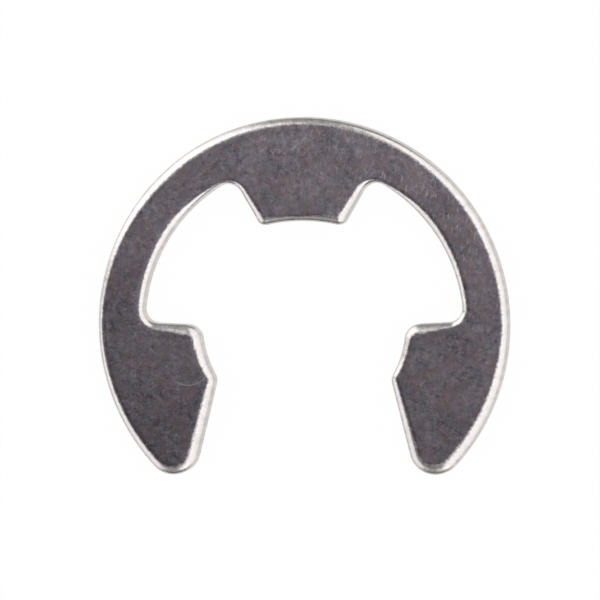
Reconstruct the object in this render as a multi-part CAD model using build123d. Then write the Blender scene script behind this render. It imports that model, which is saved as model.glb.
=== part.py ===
from build123d import *
import math
import os

# An E clip: a flat spring ring with a mouth, pushed sideways into the groove of a shaft.
# It holds the groove at three places: the hub in the middle and the two legs beside the mouth.
# The origin is on the shaft's axis, level with the clip's underside.
# +Z is along the shaft, towards the face with the widely rounded edges.
# +Y points from the mouth to the closed side. Sizes are in millimetres, angles in degrees.

# The standard clip for an 8 mm groove: 16 mm across outside, with a mouth 6.9 mm wide.
# The hub is as long as the space beside it is deep, between the groove's edge and the ring.
GROOVE_DIAMETER = 8.0
HUB_LENGTH = 2.25
RING_WIDTH = 1.75
THICKNESS = 0.8

# Hub: its width is taken level with the top of the groove, and its flanks lean away from the Y axis.
# Its end is hollowed less than the groove's floor is round, so it touches the floor in its middle.
HUB_WIDTH = 3.4
HUB_FLANK_ANGLE = 30.0
HUB_END_RADIUS = 6.5

# Legs: the reach is how far in over the groove's edge each one comes beside the mouth.
# The shoulder is the top of each leg, and the flare is the lean of its side below the mouth.
LEG_REACH = 0.55
SHOULDER_HEIGHT = 0.0
SHOULDER_SLOPE = 3.0
LEG_FLARE_ANGLE = 14.0

# Roundings of the outline's corners, seen from above
LEG_END_ROUNDING = 1.0
MOUTH_CORNER_ROUNDING = 0.5
SHOULDER_CORNER_ROUNDING = 0.65
RING_ROOT_ROUNDING = 0.55
HUB_ROOT_ROUNDING = 0.62
HUB_CORNER_ROUNDING = 0.32

# Roundings of the edges: wide where the punch drew the sheet down, small round the underside
UPPER_EDGE_ROUNDING = 0.24
LOWER_EDGE_ROUNDING = 0.06

# Sizes that follow from these
GROOVE_RADIUS = GROOVE_DIAMETER / 2
RING_INNER_RADIUS = GROOVE_RADIUS + HUB_LENGTH
OUTER_RADIUS = RING_INNER_RADIUS + RING_WIDTH
HALF_MOUTH = GROOVE_RADIUS - LEG_REACH


def disc(radius):
    """A disc about the shaft's axis, with the joint of its edge in the mouth, where it is cut away."""
    return Rot(0, 0, -90) * Circle(radius)


def both_sides(right_points):
    """A filled shape from the points of its right half, listed upwards, and their mirror images."""
    left_points = [(-x, y) for x, y in reversed(right_points)]
    return make_face(Polyline(*right_points, *left_points, close=True))


def hub_wedge():
    """The wedge between the hub's two flanks, from where they would meet up to the outer edge."""
    lean = math.tan(math.radians(HUB_FLANK_ANGLE))
    tip_height = GROOVE_RADIUS - HUB_WIDTH / 2 / lean
    half_top = (OUTER_RADIUS - tip_height) * lean
    points = [(half_top, OUTER_RADIUS), (-half_top, OUTER_RADIUS), (0, tip_height)]
    return make_face(Polyline(*points, close=True))


def hub():
    """The hub with its hollowed end. It reaches up to the middle of the ring, to be joined with it."""
    hollow = Pos(0, GROOVE_RADIUS - HUB_END_RADIUS) * disc(HUB_END_RADIUS)
    return (disc(OUTER_RADIUS - RING_WIDTH / 2) & hub_wedge()) - hollow


def space_above_shoulders():
    """Everything above the two shoulders, which rise slightly outwards from the groove's edge."""
    rise = math.tan(math.radians(SHOULDER_SLOPE))
    middle = (0, SHOULDER_HEIGHT - GROOVE_RADIUS * rise)
    right = (OUTER_RADIUS, SHOULDER_HEIGHT + (OUTER_RADIUS - GROOVE_RADIUS) * rise)
    right_top = (OUTER_RADIUS, OUTER_RADIUS)
    left_top = (-OUTER_RADIUS, OUTER_RADIUS)
    left = (-right[0], right[1])
    return make_face(Polyline(middle, right, right_top, left_top, left, close=True))


def mouth():
    """The space between the legs: narrowest at the mouth, between the legs' rounded inner corners."""
    flare = math.radians(LEG_FLARE_ANGLE)
    rounding = MOUTH_CORNER_ROUNDING
    centre_x = HALF_MOUTH + rounding
    centre_y = -math.sqrt((GROOVE_RADIUS + rounding) ** 2 - centre_x**2)
    touch_x = centre_x - rounding * math.cos(flare)
    touch_y = centre_y - rounding * math.sin(flare)
    half_low = touch_x + (OUTER_RADIUS + touch_y) * math.tan(flare)
    half_middle = touch_x + touch_y * math.tan(flare)
    return both_sides([(half_low, -OUTER_RADIUS), (half_middle, 0)])


def sharp_outline():
    """The clip's outline with sharp corners."""
    inside = disc(RING_INNER_RADIUS) & space_above_shoulders()
    return disc(OUTER_RADIUS) - disc(GROOVE_RADIUS) - inside - mouth() + hub()


def corner_pairs(outline, radius):
    """The left and right pairs of corners at one distance from the axis, the lowest pair first."""
    at_radius = [v for v in outline.vertices() if math.isclose(math.hypot(v.X, v.Y), radius, abs_tol=1e-5)]
    upwards = sorted(at_radius, key=lambda vertex: vertex.Y)
    positions = [Vector(vertex.X, vertex.Y) for vertex in upwards]
    return [positions[i : i + 2] for i in range(0, len(positions), 2)]


def rounded(outline, corners, rounding):
    """The outline with some of its corners rounded."""
    picked = [outline.vertices().sort_by_distance(corner)[0] for corner in corners]
    return fillet(picked, rounding)


def clip_outline():
    """The clip's outline with every corner rounded."""
    outline = sharp_outline()
    (leg_ends,) = corner_pairs(outline, OUTER_RADIUS)
    mouth_corners, shoulder_corners = corner_pairs(outline, GROOVE_RADIUS)
    ring_roots, hub_roots = corner_pairs(outline, RING_INNER_RADIUS)
    hub_corners = [Vector(side * HUB_WIDTH / 2, GROOVE_RADIUS) for side in (-1, 1)]
    outline = rounded(outline, leg_ends, LEG_END_ROUNDING)
    outline = rounded(outline, mouth_corners, MOUTH_CORNER_ROUNDING)
    outline = rounded(outline, shoulder_corners, SHOULDER_CORNER_ROUNDING)
    outline = rounded(outline, hub_corners, HUB_CORNER_ROUNDING)
    outline = rounded(outline, ring_roots, RING_ROOT_ROUNDING)
    return rounded(outline, hub_roots, HUB_ROOT_ROUNDING)


def e_clip():
    """The whole clip: the outline at full thickness, with its edges rounded."""
    blank = extrude(clip_outline(), THICKNESS)
    upper_edges = blank.faces().sort_by(Axis.Z)[-1].edges()
    blank = fillet(upper_edges, UPPER_EDGE_ROUNDING)
    lower_edges = blank.faces().sort_by(Axis.Z)[0].edges()
    return fillet(lower_edges, LOWER_EDGE_ROUNDING)


os.makedirs("parts", exist_ok=True)
export_step(e_clip(), "parts/e_clip.step")
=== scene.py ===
import bmesh
import bpy
import math
from mathutils import Matrix, Vector
from mathutils.geometry import delaunay_2d_cdt
from mathutils.kdtree import KDTree


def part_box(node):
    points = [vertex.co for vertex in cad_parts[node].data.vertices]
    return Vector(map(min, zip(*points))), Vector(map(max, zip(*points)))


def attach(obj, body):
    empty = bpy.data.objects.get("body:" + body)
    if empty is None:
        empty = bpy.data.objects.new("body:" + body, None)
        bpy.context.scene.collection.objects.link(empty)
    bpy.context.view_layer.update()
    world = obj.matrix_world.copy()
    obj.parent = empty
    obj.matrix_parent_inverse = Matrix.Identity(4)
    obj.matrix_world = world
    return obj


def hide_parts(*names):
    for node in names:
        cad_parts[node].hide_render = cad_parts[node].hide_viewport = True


# An E clip of tumbled stainless steel, lying on white paper in a small light tent.
# Sizes are in millimetres and angles in degrees, and MM turns millimetres to Blender's metres.
MM = 0.001

# The clip's sizes, as in its solid. Its thickness comes from the solid's box in model.glb.
GROOVE_RADIUS = 4.0
HUB_LENGTH = 2.25
RING_WIDTH = 1.75
RING_INNER_RADIUS = GROOVE_RADIUS + HUB_LENGTH
OUTER_RADIUS = RING_INNER_RADIUS + RING_WIDTH
HUB_WIDTH = 3.4
HUB_FLANK_ANGLE = 30.0
HUB_END_RADIUS = 6.5
LEG_REACH = 0.55
HALF_MOUTH = GROOVE_RADIUS - LEG_REACH
SHOULDER_HEIGHT = 0.0
SHOULDER_SLOPE = 3.0
LEG_FLARE_ANGLE = 14.0
LEG_END_ROUNDING = 1.0
MOUTH_CORNER_ROUNDING = 0.5
SHOULDER_CORNER_ROUNDING = 0.65
RING_ROOT_ROUNDING = 0.55
HUB_ROOT_ROUNDING = 0.62
HUB_CORNER_ROUNDING = 0.32

# The edges' depths. The upper edge's is how far the punch drew the sheet down.
UPPER_EDGE_DEPTH = 0.2
LOWER_EDGE_ROUNDING = 0.06

# The upper edge at each joint of the outline, where one stretch of it meets the next: the width of
# the edge's rounding, and how far in its bare steel reaches. Both change evenly between two joints.
RIGHT_EDGE = {
    "ring top": (0.34, 0.28),
    "ring upper": (0.34, 0.27),
    "ring side": (0.32, 0.24),
    "leg outside": (0.44, 0.38),
    "leg bottom": (0.46, 0.34),
    "leg top": (0.38, 0.22),
    "seat low": (0.32, 0.18),
    "seat high": (0.38, 0.24),
    "shoulder in": (0.50, 0.36),
    "shoulder out": (0.38, 0.20),
    "ring low": (0.36, 0.18),
    "ring middle": (0.42, 0.24),
    "ring high": (0.20, 0.09),
    "flank high": (0.31, 0.22),
    "flank low": (0.42, 0.32),
    "hub side": (0.38, 0.32),
    "hub middle": (0.28, 0.17),
}

# The left half's edge differs a little, as on the real clip.
LEFT_EDGE = RIGHT_EDGE | {
    "ring upper": (0.36, 0.33),
    "ring side": (0.32, 0.15),
    "leg outside": (0.44, 0.28),
    "leg top": (0.42, 0.26),
    "seat low": (0.38, 0.25),
    "seat high": (0.44, 0.32),
    "shoulder in": (0.54, 0.38),
    "shoulder out": (0.40, 0.25),
    "flank high": (0.31, 0.19),
    "flank low": (0.37, 0.25),
    "hub side": (0.36, 0.27),
}

# The stretches of the right half that are arcs, by the joint that each one starts at: the centre
# that it turns about, and whether the metal lies inside the arc. The others are straight.
ARCS = {
    "ring top": ("axis", True),
    "ring upper": ("axis", True),
    "ring side": ("axis", True),
    "leg outside": ("leg end", True),
    "leg top": ("mouth corner", True),
    "seat low": ("axis", False),
    "seat high": ("shoulder corner", True),
    "shoulder out": ("ring root", False),
    "ring low": ("axis", False),
    "ring middle": ("axis", False),
    "ring high": ("hub root", False),
    "flank low": ("hub corner", True),
    "hub side": ("hub end", False),
}

# Two joints that lie part of the way along the ring, outside and inside, by their angle from +X
RING_UPPER_ANGLE = 45.0
RING_MIDDLE_ANGLE = 40.0

# The rounding's width wavers along the edge, by at most this share from its narrowest to its widest
# and in waves of this length.
UNEVENNESS = 0.22
UNEVENNESS_LENGTH = 0.5
UNEVENNESS_SEED = 3.0

# How finely the mesh follows the outline, the edge's section and the flat faces
OUTLINE_STEP = 0.04
SECTION_STEPS = 8
FACE_STEP = 0.14

# The direction out of the metal is averaged over this length on either side, so the rounding turns
# round the outline's corners more gently than the outline does.
GENTLE_TURN = 0.36

# The flat faces begin this far inside the roundings. Their first inner points keep this share of
# FACE_STEP from that rim. FACE_SHARE stands for a place well inside the dull face.
FACE_MARGIN = 0.04
RIM_CLEARANCE = 0.7
FACE_SHARE = 1.5

# The numbers that the outline's points and the section's points carry into the geometry nodes
OUTLINE_NUMBERS = ("outline x", "outline y", "outward x", "outward y", "edge width", "bare reach")
SECTION_NUMBERS = ("width share", "inset", "height", "upper half")


def unit(angle):
    """The direction at an angle in degrees from +X."""
    return Vector((math.cos(math.radians(angle)), math.sin(math.radians(angle))))


# Directions along the right half's straight edges and across them
LEG_DOWN = unit(-90 + LEG_FLARE_ANGLE)
INTO_LEG = unit(LEG_FLARE_ANGLE)
SHOULDER_OUT = unit(SHOULDER_SLOPE)
SHOULDER_UP = unit(90 + SHOULDER_SLOPE)
FLANK_UP = unit(90 - HUB_FLANK_ANGLE)
FLANK_OUT = unit(-HUB_FLANK_ANGLE)


def rounding_centre(point, along, beside, rounding, radius, middle=Vector((0, 0))):
    """The centre of a rounding that touches a straight edge and an arc.

    The edge runs through the point and along one direction, and the centre lies beside it.
    The centre is as far from the arc's middle as the radius says.
    """
    start = point + beside * rounding - middle
    behind = start.dot(along)
    return middle + start + along * (math.sqrt(radius**2 - start.dot(start) + behind**2) - behind)


def centres():
    """The centres of the right half's arcs, by name."""
    mouth_x = HALF_MOUTH + MOUTH_CORNER_ROUNDING
    mouth_y = -math.sqrt((GROOVE_RADIUS + MOUTH_CORNER_ROUNDING) ** 2 - mouth_x**2)
    mouth_corner = Vector((mouth_x, mouth_y))
    on_leg = mouth_corner - INTO_LEG * MOUTH_CORNER_ROUNDING
    on_shoulder = Vector((GROOVE_RADIUS, SHOULDER_HEIGHT))
    on_flank = Vector((HUB_WIDTH / 2, GROOVE_RADIUS))
    hub_end = Vector((0, GROOVE_RADIUS - HUB_END_RADIUS))
    return {
        "axis": Vector((0, 0)),
        "leg end": rounding_centre(
            on_leg, LEG_DOWN, INTO_LEG,
            LEG_END_ROUNDING, OUTER_RADIUS - LEG_END_ROUNDING,
        ),
        "mouth corner": mouth_corner,
        "shoulder corner": rounding_centre(
            on_shoulder, SHOULDER_OUT, -SHOULDER_UP,
            SHOULDER_CORNER_ROUNDING, GROOVE_RADIUS + SHOULDER_CORNER_ROUNDING,
        ),
        "ring root": rounding_centre(
            on_shoulder, SHOULDER_OUT, SHOULDER_UP,
            RING_ROOT_ROUNDING, RING_INNER_RADIUS - RING_ROOT_ROUNDING,
        ),
        "hub root": rounding_centre(
            on_flank, FLANK_UP, FLANK_OUT,
            HUB_ROOT_ROUNDING, RING_INNER_RADIUS - HUB_ROOT_ROUNDING,
        ),
        "hub corner": rounding_centre(
            on_flank, FLANK_UP, -FLANK_OUT,
            HUB_CORNER_ROUNDING, HUB_END_RADIUS + HUB_CORNER_ROUNDING, hub_end,
        ),
        "hub end": hub_end,
    }


def joints(centre):
    """The right half's joints by name, clockwise from the top of the ring to the middle of the hub."""
    towards_corner = (centre["hub corner"] - centre["hub end"]).normalized()
    return {
        "ring top": Vector((0, OUTER_RADIUS)),
        "ring upper": unit(RING_UPPER_ANGLE) * OUTER_RADIUS,
        "ring side": Vector((OUTER_RADIUS, 0)),
        "leg outside": centre["leg end"].normalized() * OUTER_RADIUS,
        "leg bottom": centre["leg end"] - INTO_LEG * LEG_END_ROUNDING,
        "leg top": centre["mouth corner"] - INTO_LEG * MOUTH_CORNER_ROUNDING,
        "seat low": centre["mouth corner"].normalized() * GROOVE_RADIUS,
        "seat high": centre["shoulder corner"].normalized() * GROOVE_RADIUS,
        "shoulder in": centre["shoulder corner"] + SHOULDER_UP * SHOULDER_CORNER_ROUNDING,
        "shoulder out": centre["ring root"] - SHOULDER_UP * RING_ROOT_ROUNDING,
        "ring low": centre["ring root"].normalized() * RING_INNER_RADIUS,
        "ring middle": unit(RING_MIDDLE_ANGLE) * RING_INNER_RADIUS,
        "ring high": centre["hub root"].normalized() * RING_INNER_RADIUS,
        "flank high": centre["hub root"] - FLANK_OUT * HUB_ROOT_ROUNDING,
        "flank low": centre["hub corner"] + FLANK_OUT * HUB_CORNER_ROUNDING,
        "hub side": centre["hub end"] + towards_corner * HUB_END_RADIUS,
        "hub middle": Vector((0, GROOVE_RADIUS)),
    }


def between(first, last, share):
    """The values part of the way from one pair to another."""
    return tuple(a + (b - a) * share for a, b in zip(first, last))


def arc(start, end, first_edge, last_edge, centre, convex):
    """Samples along an arc, clockwise where the metal is inside it and anticlockwise where it is outside.

    Each sample is a point, the direction out of the metal, and the upper edge's pair of widths there.
    """
    radius = (start - centre).length
    turn = -1 if convex else 1
    first = math.atan2(*(start - centre).yx)
    last = math.atan2(*(end - centre).yx)
    sweep = ((last - first) * turn) % math.tau
    count = math.ceil(radius * sweep / OUTLINE_STEP)
    samples = []
    for step in range(count):
        angle = first + turn * sweep * step / count
        direction = Vector((math.cos(angle), math.sin(angle)))
        edge = between(first_edge, last_edge, step / count)
        samples.append((centre + direction * radius, direction * -turn, edge))
    return samples


def straight(start, end, first_edge, last_edge):
    """Samples along a straight edge that is followed with the metal on its right."""
    along = (end - start).normalized()
    outward = Vector((-along.y, along.x))
    count = math.ceil((end - start).length / OUTLINE_STEP)
    shares = [step / count for step in range(count)]
    return [(start.lerp(end, share), outward, between(first_edge, last_edge, share)) for share in shares]


def right_half(edge):
    """Samples of the right half, clockwise from the top of the ring to the middle of the hub."""
    centre = centres()
    joint = joints(centre)
    names = list(joint)
    samples = []
    for first, last in zip(names, names[1:]):
        ends = (joint[first], joint[last], edge[first], edge[last])
        if first in ARCS:
            middle, convex = ARCS[first]
            samples += arc(*ends, centre[middle], convex)
        else:
            samples += straight(*ends)
    samples.append((joint["hub middle"], Vector((0, -1)), edge["hub middle"]))
    return samples


def whole_outline():
    """The closed outline, clockwise, with the directions out of it turning gently round its corners."""
    right = right_half(RIGHT_EDGE)
    mirror = Matrix(((-1, 0), (0, 1)))
    other = right_half(LEFT_EDGE)[-2:0:-1]
    samples = right + [(mirror @ point, mirror @ outward, edge) for point, outward, edge in other]
    reach = round(GENTLE_TURN / OUTLINE_STEP)
    count = len(samples)
    gentle = []
    for index, (point, _, edge) in enumerate(samples):
        nearby = [samples[(index + offset) % count][1] for offset in range(-reach, reach + 1)]
        gentle.append((point, sum(nearby, Vector((0, 0))).normalized(), edge))
    return gentle


def edge_section(thickness):
    """The section of the edge, from the upper face over the rounding and the wall to the underside.

    Each row holds the share of the rounding's width that its point lies in from the wall, a fixed
    distance in besides that, its height, and 1 on the upper half or 0 on the lower.
    """
    rows = [(1.0, FACE_MARGIN, thickness, 1.0)]
    for step in range(SECTION_STEPS + 1):
        angle = math.pi / 2 * step / SECTION_STEPS
        height = thickness - UPPER_EDGE_DEPTH * (1 - math.cos(angle))
        rows.append((1 - math.sin(angle), 0.0, height, 1.0))
    lower_steps = SECTION_STEPS // 2
    for step in range(lower_steps + 1):
        angle = math.pi / 2 * step / lower_steps
        inset = LOWER_EDGE_ROUNDING * (1 - math.cos(angle))
        rows.append((0.0, inset, LOWER_EDGE_ROUNDING * (1 - math.sin(angle)), 0.0))
    rows.append((0.0, LOWER_EDGE_ROUNDING + FACE_MARGIN, 0.0, 0.0))
    return rows


def numbered_line(name, points, closed, numbers, rows):
    """An object with one line of joined points in millimetres, each of which carries a row of numbers."""
    mesh = bpy.data.meshes.new(name)
    steps = [(index, index + 1) for index in range(len(points) - 1)]
    if closed:
        steps.append((len(points) - 1, 0))
    mesh.from_pydata([(x * MM, y * MM, 0) for x, y in points], steps, [])
    for number, values in zip(numbers, zip(*rows)):
        mesh.attributes.new(number, "FLOAT", "POINT").data.foreach_set("value", values)
    line = bpy.data.objects.new(name, mesh)
    bpy.context.scene.collection.objects.link(line)
    return line


def outline_line():
    """The outline as a closed line of points with their numbers, lengths among them in metres."""
    samples = whole_outline()
    rows = [
        (point.x * MM, point.y * MM, outward.x, outward.y, width * MM, reach * MM)
        for point, outward, (width, reach) in samples
    ]
    return numbered_line("outline", [point for point, _, _ in samples], True, OUTLINE_NUMBERS, rows)


def section_line(thickness):
    """The edge's section as a line of points with their numbers, which alone give its shape."""
    rows = [
        (share, inset * MM, height * MM, upper) for share, inset, height, upper in edge_section(thickness)
    ]
    points = [(index, 0) for index in range(len(rows))]
    return numbered_line("edge section", points, False, SECTION_NUMBERS, rows)


def add(tree, kind, inputs=None, **settings):
    """Adds a node with its settings and links.

    Each input is named, or counted among those in use. It is given a value, or the socket that it
    is linked from, or a node, whose first output in use it is linked from.
    """
    made = tree.nodes.new(kind)
    for setting, value in settings.items():
        setattr(made, setting, value)
    in_use = [socket for socket in made.inputs if socket.enabled]
    for key, value in (inputs or {}).items():
        socket = in_use[key] if isinstance(key, int) else next(s for s in in_use if s.name == key)
        if isinstance(value, bpy.types.Node):
            value = next(output for output in value.outputs if output.enabled)
        if isinstance(value, bpy.types.NodeSocket):
            tree.links.new(value, socket)
        else:
            socket.default_value = value
    return made


def uneven_width(tree, given, stored, point):
    """The width of the upper edge's rounding at each point, which wavers a little along the edge."""
    fineness = add(tree, "ShaderNodeMath", {0: 1.0, 1: given["Unevenness length"]}, operation="DIVIDE")
    waves = add(
        tree, "ShaderNodeTexNoise",
        {"Vector": point, "W": given["Seed"], "Scale": fineness, "Detail": 3.0},
        noise_dimensions="4D",
    )
    from_mean = add(tree, "ShaderNodeMath", {0: waves, 1: 0.5}, operation="SUBTRACT")
    swing = add(tree, "ShaderNodeMath", {0: from_mean, 1: given["Unevenness"]}, operation="MULTIPLY")
    times = add(tree, "ShaderNodeMath", {0: 1.0, 1: swing}, operation="ADD")
    return add(tree, "ShaderNodeMath", {0: stored["edge width"], 1: times}, operation="MULTIPLY")


def bare_share(tree, given, stored, way_in):
    """How far in each point lies, as a share of the bare steel's reach there."""
    reach = add(
        tree, "ShaderNodeMix",
        {"Factor": stored["upper half"], "A": given["Lower bare reach"], "B": stored["bare reach"]},
    )
    share = add(tree, "ShaderNodeMath", {0: way_in, 1: reach}, operation="DIVIDE")
    return add(tree, "ShaderNodeMath", {0: share, 1: FACE_SHARE}, operation="MINIMUM")


def edge_tree():
    """Geometry nodes that sweep the edge's section along the outline.

    The sweep only joins the points up. Each is then placed by its stored numbers: in from the
    outline by its share of the rounding's width and its inset, and up to its height.
    """
    tree = bpy.data.node_groups.new("stamped edge along an outline", "GeometryNodeTree")
    tree.interface.new_socket("Outline", in_out="INPUT", socket_type="NodeSocketGeometry")
    tree.interface.new_socket("Edge section", in_out="INPUT", socket_type="NodeSocketObject")
    for name in ("Lower bare reach", "Unevenness", "Unevenness length", "Seed"):
        tree.interface.new_socket(name, in_out="INPUT", socket_type="NodeSocketFloat")
    tree.interface.new_socket("Material", in_out="INPUT", socket_type="NodeSocketMaterial")
    tree.interface.new_socket("Edge", in_out="OUTPUT", socket_type="NodeSocketGeometry")
    given = add(tree, "NodeGroupInput").outputs
    numbers = OUTLINE_NUMBERS + SECTION_NUMBERS
    stored = {name: add(tree, "GeometryNodeInputNamedAttribute", {"Name": name}) for name in numbers}

    section_object = add(tree, "GeometryNodeObjectInfo", {"Object": given["Edge section"]})
    section = add(tree, "GeometryNodeMeshToCurve", {"Mesh": section_object.outputs["Geometry"]})
    outline = add(tree, "GeometryNodeMeshToCurve", {"Mesh": given["Outline"]})
    swept = add(tree, "GeometryNodeCurveToMesh", {"Curve": outline, "Profile Curve": section})

    point = add(tree, "ShaderNodeCombineXYZ", {"X": stored["outline x"], "Y": stored["outline y"]})
    outward = add(tree, "ShaderNodeCombineXYZ", {"X": stored["outward x"], "Y": stored["outward y"]})
    height = add(tree, "ShaderNodeCombineXYZ", {"Z": stored["height"]})
    width = uneven_width(tree, given, stored, point)
    rolled = add(tree, "ShaderNodeMath", {0: stored["width share"], 1: width}, operation="MULTIPLY")
    way_in = add(tree, "ShaderNodeMath", {0: rolled, 1: stored["inset"]}, operation="ADD")
    shift = add(tree, "ShaderNodeVectorMath", {"Vector": outward, "Scale": way_in}, operation="SCALE")
    moved_in = add(tree, "ShaderNodeVectorMath", {0: point, 1: shift}, operation="SUBTRACT")
    position = add(tree, "ShaderNodeVectorMath", {0: moved_in, 1: height}, operation="ADD")
    placed = add(tree, "GeometryNodeSetPosition", {"Geometry": swept, "Position": position})
    faced_out = add(tree, "GeometryNodeFlipFaces", {"Mesh": placed})

    share = bare_share(tree, given, stored, way_in)
    shared = add(
        tree, "GeometryNodeStoreNamedAttribute",
        {"Geometry": faced_out, "Name": "face share", "Value": share},
    )
    smooth = add(tree, "GeometryNodeSetShadeSmooth", {"Geometry": shared})
    real = add(tree, "GeometryNodeRealizeInstances", {"Geometry": smooth})
    finished = add(tree, "GeometryNodeSetMaterial", {"Geometry": real, "Material": given["Material"]})
    add(tree, "NodeGroupOutput", {"Edge": finished})
    return tree


def set_inputs(modifier, values):
    """Sets a modifier's inputs, each found by its name and set by its identifier."""
    for item in modifier.node_group.interface.items_tree:
        if item.in_out == "INPUT" and item.name in values:
            modifier[item.identifier] = values[item.name]


def edge_band(thickness, material):
    """The rounded edge all the way round, made by the geometry nodes, as a plain mesh."""
    outline = outline_line()
    section = section_line(thickness)
    modifier = outline.modifiers.new("edge", "NODES")
    modifier.node_group = edge_tree()
    set_inputs(modifier, {
        "Edge section": section,
        "Lower bare reach": LOWER_EDGE_ROUNDING * MM,
        "Unevenness": UNEVENNESS,
        "Unevenness length": UNEVENNESS_LENGTH * MM,
        "Seed": UNEVENNESS_SEED,
        "Material": material,
    })
    evaluated = outline.evaluated_get(bpy.context.evaluated_depsgraph_get())
    mesh = bpy.data.meshes.new_from_object(evaluated)
    for name in OUTLINE_NUMBERS + SECTION_NUMBERS:
        mesh.attributes.remove(mesh.attributes[name])
    bpy.data.objects.remove(outline)
    bpy.data.objects.remove(section)
    return mesh


def rim_in_order(edges):
    """The corners along a closed run of open edges, in order."""
    following = {}
    for edge in edges:
        following.setdefault(edge.verts[0], []).append(edge.verts[1])
        following.setdefault(edge.verts[1], []).append(edge.verts[0])
    rim = [edges[0].verts[0], edges[0].verts[1]]
    while len(rim) < len(edges):
        first, second = following[rim[-1]]
        rim.append(second if first is rim[-2] else first)
    return rim


def inner_points(rim):
    """Evenly spaced points of a triangular grid, for the inside of a face and some way past it."""
    spacing = FACE_STEP * MM
    row_spacing = spacing * math.sqrt(0.75)
    tree = KDTree(len(rim))
    for index, corner in enumerate(rim):
        tree.insert((corner.co.x, corner.co.y, 0), index)
    tree.balance()
    rows = math.ceil(OUTER_RADIUS * MM / row_spacing)
    columns = math.ceil(OUTER_RADIUS * MM / spacing)
    points = []
    for row in range(-rows, rows + 1):
        for column in range(-columns, columns + 1):
            x = (column + 0.5 * (row % 2)) * spacing
            y = row * row_spacing
            if tree.find((x, y, 0))[2] > RIM_CLEARANCE * spacing:
                points.append(Vector((x, y)))
    return points


def close_face(shell, rim, upwards):
    """Fills one face of the clip with even triangles inside its rim."""
    only_inside = 1
    same_place = 1e-9
    layer = shell.verts.layers.float["face share"]
    points = [corner.co.xy for corner in rim] + inner_points(rim)
    loop = list(range(len(rim)))
    places, _, faces, origins, _, _ = delaunay_2d_cdt(points, [], [loop], only_inside, same_place)
    height = rim[0].co.z
    corners = {}
    for index in sorted({index for face in faces for index in face}):
        on_rim = [origin for origin in origins[index] if origin < len(rim)]
        if on_rim:
            corners[index] = rim[on_rim[0]]
        else:
            corners[index] = shell.verts.new((*places[index], height))
            corners[index][layer] = FACE_SHARE
    for face in faces:
        ordered = [corners[index] for index in (face if upwards else reversed(face))]
        shell.faces.new(ordered).smooth = True


def clip_piece(thickness, material):
    """The whole clip as one closed mesh, its underside at height 0."""
    mesh = edge_band(thickness, material)
    shell = bmesh.new()
    shell.from_mesh(mesh)
    open_edges = [edge for edge in shell.edges if edge.is_boundary]
    middle = thickness * MM / 2
    upper_rim = rim_in_order([edge for edge in open_edges if edge.verts[0].co.z > middle])
    lower_rim = rim_in_order([edge for edge in open_edges if edge.verts[0].co.z < middle])
    close_face(shell, upper_rim, True)
    close_face(shell, lower_rim, False)
    shell.to_mesh(mesh)
    shell.free()
    piece = bpy.data.objects.new("clip", mesh)
    bpy.context.scene.collection.objects.link(piece)
    return piece


# Sizes of the finish's patterns. Tumbling leaves pits, dents and specks a few hundredths of a
# millimetre wide. They are too fine to show, so they are drawn as coarse as they need to show.
# The dents' pattern runs slower along Z by UPRIGHT_SCALE, which makes upright marks of it on a wall.
# Below, the values of a noise lie mostly between 0.3 and 0.7, so a pattern's threshold picks how
# much of the face it covers.
FINE_PIT = 0.1
COARSE_PIT = 0.26
SHADE_PATCH = 1.1
BROWN_PATCH = 0.5
BLUE_PATCH = 0.37
SPECK = 0.07
DENT = 0.2
UPRIGHT_SCALE = 0.12
# GLINT is the size of the painted glints' patches.
GLINT = 0.11
RAGGED_TOOTH = 0.12
CHIP = 0.09
RELIEF_DEPTH = 0.01

# The rubs on the upper face: their width, how many times as long they are, and their lean from the
# Y axis. Going from the origin towards one side, they are a mere trace up to the first distance and
# all there from the second on.
RUB_WIDTH = 0.09
RUB_STRETCH = 4.0
RUB_LEAN = -12.0
RUBBED_SIDE = unit(50).to_3d()
RUBBED_FROM = 3.0
RUBBED_IN_FULL = 7.0

# The scratch on the left leg, part of a circle: the circle's middle and radius, how far beside the
# line it has faded out, and how far from the middle towards one side it begins and is all there
SCRATCH_X = -4.48
SCRATCH_Y = -1.43
SCRATCH_RADIUS = 0.89
SCRATCH_HALF_WIDTH = 0.03
SCRATCH_SIDE = unit(-80).to_3d()
SCRATCH_FROM = 0.5
SCRATCH_IN_FULL = 0.7

# Painted light: the dull face's colour grows evenly lighter from the legs' ends to the closed side,
# between these two places, standing in for the brighter light that it reflects there.
CLOSED_SIDE = Vector((0, 1, 0))
PAINTED_DARKEST_Y = -6.0
PAINTED_PALEST_Y = 7.0


def linear(hex_colour):
    """An sRGB hex colour as linear red, green, blue and alpha."""
    parts = [int(hex_colour[i : i + 2], 16) / 255 for i in (1, 3, 5)]
    return [p / 12.92 if p <= 0.04045 else ((p + 0.055) / 1.055) ** 2.4 for p in parts] + [1.0]


def per_size(millimetres):
    """The texture scale at which a pattern's features have a real size."""
    return 1 / (millimetres * MM)


def new_material(name):
    """A material with an empty node tree."""
    material = bpy.data.materials.new(name)
    material.use_nodes = True
    material.node_tree.nodes.clear()
    return material


def pits(tree, place):
    """The relief of the dull face: fine pits among coarser ones."""
    fine = add(
        tree, "ShaderNodeTexNoise",
        {"Vector": place, "Scale": per_size(FINE_PIT), "Detail": 3.0, "Roughness": 0.6},
    )
    coarse = add(
        tree, "ShaderNodeTexNoise",
        {"Vector": place, "Scale": per_size(COARSE_PIT), "Detail": 3.0, "Roughness": 0.6},
    )
    return add(tree, "ShaderNodeMix", {"Factor": 0.55, "A": fine, "B": coarse})


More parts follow.
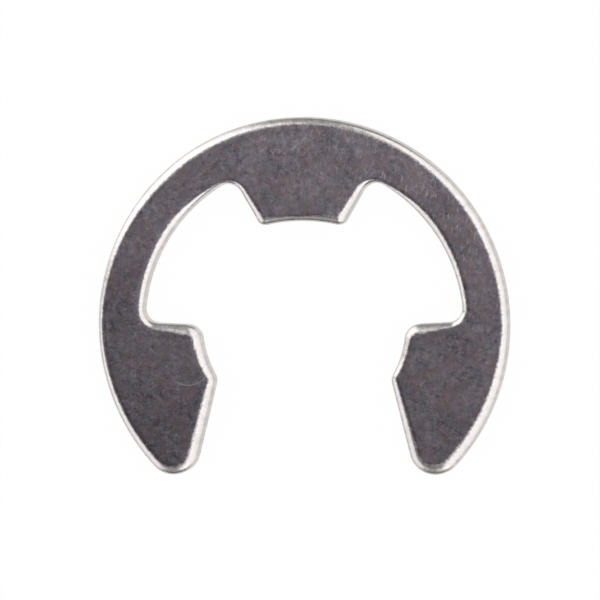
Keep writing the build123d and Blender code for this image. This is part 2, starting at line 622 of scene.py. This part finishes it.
def patched_grey(tree, place, relief):
    """The dull face's greys, darker in the pits, with patches that lean to brown or to blue."""
    shades = add(
        tree, "ShaderNodeTexNoise", {"Vector": place, "Scale": per_size(SHADE_PATCH), "Detail": 2.0}
    )
    tone = add(tree, "ShaderNodeMix", {"Factor": 0.25, "A": relief, "B": shades})
    shade = add(tree, "ShaderNodeMapRange", {"Value": tone, "From Min": 0.4, "From Max": 0.6})
    grey = add(
        tree, "ShaderNodeMix",
        {"Factor": shade, "A": linear("#565059"), "B": linear("#8F858E")},
        data_type="RGBA",
    )
    for size, strength, colour in ((BROWN_PATCH, 0.7, "#7A6A6A"), (BLUE_PATCH, 0.6, "#6A6C74")):
        patches = add(
            tree, "ShaderNodeTexNoise", {"Vector": place, "Scale": per_size(size), "Detail": 2.0}
        )
        lean = add(
            tree, "ShaderNodeMapRange",
            {"Value": patches, "From Min": 0.42, "From Max": 0.74, "To Max": strength},
        )
        grey = add(
            tree, "ShaderNodeMix", {"Factor": lean, "A": grey, "B": linear(colour)}, data_type="RGBA"
        )
    return grey


def rubs(tree, place):
    """Short bright rubs that all lean one way, most of them at the upper right."""
    along = add(
        tree, "ShaderNodeMapping",
        {"Vector": place, "Rotation": (0, 0, math.radians(RUB_LEAN)), "Scale": (1, RUB_STRETCH, 1)},
        vector_type="TEXTURE",
    )
    streaks = add(
        tree, "ShaderNodeTexNoise", {"Vector": along, "Scale": per_size(RUB_WIDTH), "Detail": 1.0}
    )
    rubbed = add(
        tree, "ShaderNodeMapRange",
        {"Value": streaks, "From Min": 0.58, "From Max": 0.82, "To Max": 0.65},
    )
    across = add(tree, "ShaderNodeVectorMath", {0: place, 1: RUBBED_SIDE}, operation="DOT_PRODUCT")
    where = add(
        tree, "ShaderNodeMapRange",
        {
            "Value": across, "From Min": RUBBED_FROM * MM, "From Max": RUBBED_IN_FULL * MM,
            "To Min": 0.15,
        },
    )
    return add(tree, "ShaderNodeMath", {0: rubbed, 1: where}, operation="MULTIPLY")


def specks(tree, place):
    """Tiny bright specks all over the dull face."""
    dots = add(tree, "ShaderNodeTexNoise", {"Vector": place, "Scale": per_size(SPECK), "Detail": 0.0})
    return add(
        tree, "ShaderNodeMapRange", {"Value": dots, "From Min": 0.8, "From Max": 0.9, "To Max": 0.8}
    )


def scratch(tree, place, thickness):
    """One hairline scratch on the left leg's upper face, the lower part of a circle."""
    middle = Vector((SCRATCH_X, SCRATCH_Y, thickness)) * MM
    from_middle = add(tree, "ShaderNodeVectorMath", {0: place, 1: middle}, operation="SUBTRACT")
    away = add(tree, "ShaderNodeVectorMath", {0: from_middle}, operation="LENGTH")
    off_line = add(tree, "ShaderNodeMath", {0: away, 1: SCRATCH_RADIUS * MM}, operation="SUBTRACT")
    beside = add(tree, "ShaderNodeMath", {0: off_line}, operation="ABSOLUTE")
    line = add(
        tree, "ShaderNodeMapRange",
        {"Value": beside, "From Max": SCRATCH_HALF_WIDTH * MM, "To Min": 1.0, "To Max": 0.0},
    )
    down = add(tree, "ShaderNodeVectorMath", {0: from_middle, 1: SCRATCH_SIDE}, operation="DOT_PRODUCT")
    part = add(
        tree, "ShaderNodeMapRange",
        {
            "Value": down, "From Min": SCRATCH_FROM * MM, "From Max": SCRATCH_IN_FULL * MM,
            "To Max": 0.65,
        },
    )
    return add(tree, "ShaderNodeMath", {0: line, 1: part}, operation="MULTIPLY")


def dull_skin(tree, place, relief, thickness):
    """The colour of the dull face with its marks, with painted light that makes it lighter towards the
    closed side.
    """
    grey = patched_grey(tree, place, relief)
    marks = add(
        tree, "ShaderNodeMath", {0: rubs(tree, place), 1: specks(tree, place)}, operation="MAXIMUM"
    )
    marks = add(
        tree, "ShaderNodeMath", {0: marks, 1: scratch(tree, place, thickness)}, operation="MAXIMUM"
    )
    marked = add(
        tree, "ShaderNodeMix", {"Factor": marks, "A": grey, "B": linear("#B9B4B6")}, data_type="RGBA"
    )
    # Painted light: the colour is scaled from 0.68 at the legs' ends to 1.06 at the closed side.
    up = add(tree, "ShaderNodeVectorMath", {0: place, 1: CLOSED_SIDE}, operation="DOT_PRODUCT")
    painted_light_scale = add(
        tree, "ShaderNodeMapRange",
        {
            "Value": up, "From Min": PAINTED_DARKEST_Y * MM, "From Max": PAINTED_PALEST_Y * MM,
            "To Min": 0.68, "To Max": 1.06,
        },
    )
    return add(tree, "ShaderNodeVectorMath", {"Vector": marked, "Scale": painted_light_scale}, operation="SCALE")


def dents(tree, place):
    """The bare steel's relief: small dents on the rounding and the punch's upright marks on the wall."""
    drawn_out = add(tree, "ShaderNodeMapping", {"Vector": place, "Scale": (1, 1, UPRIGHT_SCALE)})
    return add(
        tree, "ShaderNodeTexNoise", {"Vector": drawn_out, "Scale": per_size(DENT), "Detail": 2.0}
    )


def burnished_edge(tree, place, share, dented, on_wall):
    """The colour of the bare steel.

    The rounding is bright and, beside the face, has painted glints: near-white patches of colour that
    stand in for glints of light. The wall is duller, because the stones polish it less.
    """
    in_dents = add(tree, "ShaderNodeMapRange", {"Value": dented, "From Min": 0.3, "From Max": 0.7})
    bright = add(
        tree, "ShaderNodeMix",
        {"Factor": in_dents, "A": linear("#DAD4D3"), "B": linear("#E9E4E3")},
        data_type="RGBA",
    )
    wall = add(
        tree, "ShaderNodeMix",
        {"Factor": in_dents, "A": linear("#C1BCB8"), "B": linear("#D6D1CC")},
        data_type="RGBA",
    )
    bare = add(tree, "ShaderNodeMix", {"Factor": on_wall, "A": bright, "B": wall}, data_type="RGBA")
    # Painted glints: beside the face the colour turns near-white in noisy patches, standing in for glints
    # of light.
    beside_face = add(tree, "ShaderNodeMapRange", {"Value": share, "From Min": 0.55, "From Max": 0.8})
    glint_noise = add(tree, "ShaderNodeTexNoise", {"Vector": place, "Scale": per_size(GLINT), "Detail": 2.0})
    painted_glint_patches = add(tree, "ShaderNodeMapRange", {"Value": glint_noise, "From Min": 0.45, "From Max": 0.6})
    painted_glints = add(tree, "ShaderNodeMath", {0: beside_face, 1: painted_glint_patches}, operation="MULTIPLY")
    return add(
        tree, "ShaderNodeMix", {"Factor": painted_glints, "A": bare, "B": linear("#F5F1F0")}, data_type="RGBA"
    )


def skin_cover(tree, place, share):
    """How far the dull skin covers each place. It ends in a ragged line on the rounding, with chips."""
    chips_middle = 1.05
    chips_reach = 0.25
    teeth = add(
        tree, "ShaderNodeTexNoise", {"Vector": place, "Scale": per_size(RAGGED_TOOTH), "Detail": 3.0}
    )
    ragged = add(
        tree, "ShaderNodeMapRange",
        {"Value": teeth, "From Min": 0.3, "From Max": 0.7, "To Min": -0.09, "To Max": 0.09},
    )
    moved = add(tree, "ShaderNodeMath", {0: share, 1: ragged}, operation="ADD")
    skin = add(tree, "ShaderNodeMapRange", {"Value": moved, "From Min": 0.78, "From Max": 1.12})

    off_line = add(tree, "ShaderNodeMath", {0: share, 1: chips_middle}, operation="SUBTRACT")
    beside = add(tree, "ShaderNodeMath", {0: off_line}, operation="ABSOLUTE")
    beside_line = add(
        tree, "ShaderNodeMapRange",
        {"Value": beside, "From Max": chips_reach, "To Min": 1.0, "To Max": 0.0},
    )
    flakes = add(tree, "ShaderNodeTexNoise", {"Vector": place, "Scale": per_size(CHIP), "Detail": 1.0})
    flaked = add(
        tree, "ShaderNodeMapRange", {"Value": flakes, "From Min": 0.66, "From Max": 0.76, "To Max": 0.8}
    )
    chips = add(tree, "ShaderNodeMath", {0: beside_line, 1: flaked}, operation="MULTIPLY")
    chipped = add(tree, "ShaderNodeMath", {0: skin, 1: chips}, operation="MULTIPLY")
    return add(tree, "ShaderNodeMath", {0: skin, 1: chipped}, operation="SUBTRACT")


def tumbled_stainless(thickness):
    """Stainless steel strip, stamped and then tumbled with stones in a barrel.

    The stones leave the flat faces dull and finely pitted, so the eye sees a dark, blotchy grey.
    They rub the rounded edges bare, so those shine as a bright line all round.
    """
    material = new_material("tumbled stainless steel")
    tree = material.node_tree
    place = add(tree, "ShaderNodeTexCoord").outputs["Object"]
    share = add(tree, "ShaderNodeAttribute", attribute_name="face share").outputs["Fac"]
    on_wall = add(
        tree, "ShaderNodeMapRange", {"Value": share, "From Max": 0.45, "To Min": 1.0, "To Max": 0.0}
    )
    pitted = pits(tree, place)
    dented = dents(tree, place)
    skin = dull_skin(tree, place, pitted, thickness)
    bare = burnished_edge(tree, place, share, dented, on_wall)
    dull = skin_cover(tree, place, share)
    colour = add(tree, "ShaderNodeMix", {"Factor": dull, "A": bare, "B": skin}, data_type="RGBA")

    skin_roughness = add(
        tree, "ShaderNodeMapRange",
        {"Value": pitted, "From Min": 0.3, "From Max": 0.7, "To Min": 0.28, "To Max": 0.38},
    )
    rounding_roughness = add(
        tree, "ShaderNodeMapRange",
        {"Value": dented, "From Min": 0.3, "From Max": 0.7, "To Min": 0.2, "To Max": 0.27},
    )
    bare_roughness = add(tree, "ShaderNodeMix", {"Factor": on_wall, "A": rounding_roughness, "B": 0.36})
    roughness = add(tree, "ShaderNodeMix", {"Factor": dull, "A": bare_roughness, "B": skin_roughness})

    shallow_dents = add(tree, "ShaderNodeMapRange", {"Value": dented, "To Min": 0.35, "To Max": 0.65})
    relief = add(tree, "ShaderNodeMix", {"Factor": dull, "A": shallow_dents, "B": pitted})
    bump = add(
        tree, "ShaderNodeBump", {"Strength": 0.25, "Distance": RELIEF_DEPTH * MM, "Height": relief}
    )
    surface = add(
        tree, "ShaderNodeBsdfPrincipled",
        {"Base Color": colour, "Metallic": 1.0, "Roughness": roughness, "Normal": bump},
    )
    add(tree, "ShaderNodeOutputMaterial", {"Surface": surface})
    return material


# The paper: its size, how far it lies below the clip's underside, and how much of it the camera and
# mirrored rays see as pure white. The rest of it shows the clip's shadow.
PAPER_SIZE = 3000
PAPER_GAP = 0.02
PURE_WHITE = 0.97

# How far the tent's upright panels stand from the clip
TENT_RADIUS = 300


def white_paper():
    """Matt white paper, seen and mirrored as pure white, with a faint shadow where the clip lies."""
    material = new_material("white paper")
    tree = material.node_tree
    rays = add(tree, "ShaderNodeLightPath").outputs
    paper = add(tree, "ShaderNodeBsdfDiffuse", {"Color": linear("#FFFFFF")})
    white = add(tree, "ShaderNodeEmission", {"Color": linear("#FFFFFF"), "Strength": 1.0})
    seen = add(
        tree, "ShaderNodeMath", {0: rays["Is Camera Ray"], 1: rays["Is Glossy Ray"]}, operation="ADD"
    )
    seen = add(
        tree, "ShaderNodeMath", {0: seen, 1: rays["Is Transmission Ray"]},
        operation="ADD", use_clamp=True,
    )
    share = add(tree, "ShaderNodeMath", {0: seen, 1: PURE_WHITE}, operation="MULTIPLY")
    surface = add(tree, "ShaderNodeMixShader", {0: share, 1: paper, 2: white})
    add(tree, "ShaderNodeOutputMaterial", {"Surface": surface})
    return material


def floor():
    """The sheet of paper that the clip lies on."""
    half = PAPER_SIZE / 2 * MM
    top = -PAPER_GAP * MM
    corners = [(-half, -half, top), (half, -half, top), (half, half, top), (-half, half, top)]
    mesh = bpy.data.meshes.new("floor")
    mesh.from_pydata(corners, [], [(0, 1, 2, 3)])
    mesh.materials.append(white_paper())
    sheet = bpy.data.objects.new("floor", mesh)
    bpy.context.scene.collection.objects.link(sheet)


def soft_light(name, place, facing, width, height, brightness):
    """A soft box, its place and size in millimetres; the brightness is what it shows, 1 being white."""
    lamp = bpy.data.lights.new(name, "AREA")
    lamp.shape = "RECTANGLE"
    lamp.size = width * MM
    lamp.size_y = height * MM
    lamp.energy = brightness * math.pi * lamp.size * lamp.size_y
    box = bpy.data.objects.new(name, lamp)
    box.location = place * MM
    box.rotation_euler = facing.to_track_quat("-Z", "Y").to_euler()
    box.visible_camera = False
    bpy.context.scene.collection.objects.link(box)


def panel(name, first_azimuth, last_azimuth, low, high, brightness):
    """An upright soft box between two azimuths, counted from +X, and two heights above the paper."""
    half_angle = math.radians(last_azimuth - first_azimuth) / 2
    out = unit((first_azimuth + last_azimuth) / 2).to_3d()
    place = out * TENT_RADIUS + Vector((0, 0, (low + high) / 2))
    width = 2 * TENT_RADIUS * math.tan(half_angle)
    soft_light(name, place, -out, width, high - low, brightness)


def dim_surroundings():
    """The faint grey light that comes from wherever the tent has no soft box."""
    world = bpy.data.worlds.new("tent")
    world.use_nodes = True
    world.node_tree.nodes.clear()
    grey = add(world.node_tree, "ShaderNodeBackground", {"Color": linear("#FFFFFF"), "Strength": 0.1})
    add(world.node_tree, "ShaderNodeOutputWorld", {"Surface": grey})
    bpy.context.scene.world = world


def light_tent():
    """A small light tent, dim between its soft boxes.

    In the photograph's view the flat upper face mirrors the overhead box. The right box starts
    where that one ends, so the edges that lean to the right shine at once. The left panel starts
    much lower, so the edges that lean to the left begin with a dark line. The back and front
    panels are dim, and so are the edges that lean towards them.
    """
    dim_surroundings()
    down = Vector((0, 0, -1))
    down_left = Vector((-1, 0, -1))
    soft_light("overhead box", Vector((-22, -5, 250)), down, width=76, height=100, brightness=0.95)
    soft_light("right box", Vector((212, -10, 212)), down_left, width=900, height=530, brightness=1.12)
    panel("back panel", 72, 110, low=60, high=850, brightness=0.2)
    panel("back left panel", 115, 168, low=0, high=850, brightness=1.4)
    panel("left panel", 172, 235, low=40, high=420, brightness=1.0)
    panel("front panel", 236, 304, low=150, high=500, brightness=0.24)


def camera():
    """The photograph's view: almost straight down, leaning a little to the right and to the closed side.

    In it the clip lies turned by half a degree.
    """
    lean_right = 9.5
    lean_back = 2.0
    clip_turned = 0.5
    picture_pixels = 600
    pixels_per_millimetre = 25.9
    distance = 250 * MM
    nearest_seen = 10 * MM
    aim = Vector((-0.195, 0.937, 0)) * MM
    back = Vector((math.tan(math.radians(lean_right)), math.tan(math.radians(lean_back)), 1)).normalized()
    right = Vector((0, 1, 0)).cross(back).normalized()
    up = back.cross(right)
    level = Matrix((right, up, back)).transposed().to_4x4()
    view_width = picture_pixels / pixels_per_millimetre * MM
    data = bpy.data.cameras.new("camera")
    data.lens = data.sensor_width * distance / view_width
    data.clip_start = nearest_seen
    made = bpy.data.objects.new("camera", data)
    turned = Matrix.Rotation(math.radians(-clip_turned), 4, "Z")
    made.matrix_world = Matrix.Translation(aim + back * distance) @ level @ turned
    bpy.context.scene.collection.objects.link(made)
    bpy.context.scene.camera = made


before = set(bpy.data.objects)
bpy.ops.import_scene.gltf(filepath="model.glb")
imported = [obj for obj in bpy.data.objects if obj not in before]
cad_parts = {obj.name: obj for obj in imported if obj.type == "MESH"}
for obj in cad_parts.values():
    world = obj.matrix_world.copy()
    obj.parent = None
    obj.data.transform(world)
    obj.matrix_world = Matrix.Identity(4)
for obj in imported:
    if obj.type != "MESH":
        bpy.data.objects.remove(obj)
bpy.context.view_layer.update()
bpy.context.scene.view_settings.view_transform = "Standard"
low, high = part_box("e_clip")
clip_thickness = (high[2] - low[2]) / MM
clip = clip_piece(clip_thickness, tumbled_stainless(clip_thickness))
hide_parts("e_clip")
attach(clip, "root")
floor()
light_tent()
camera()
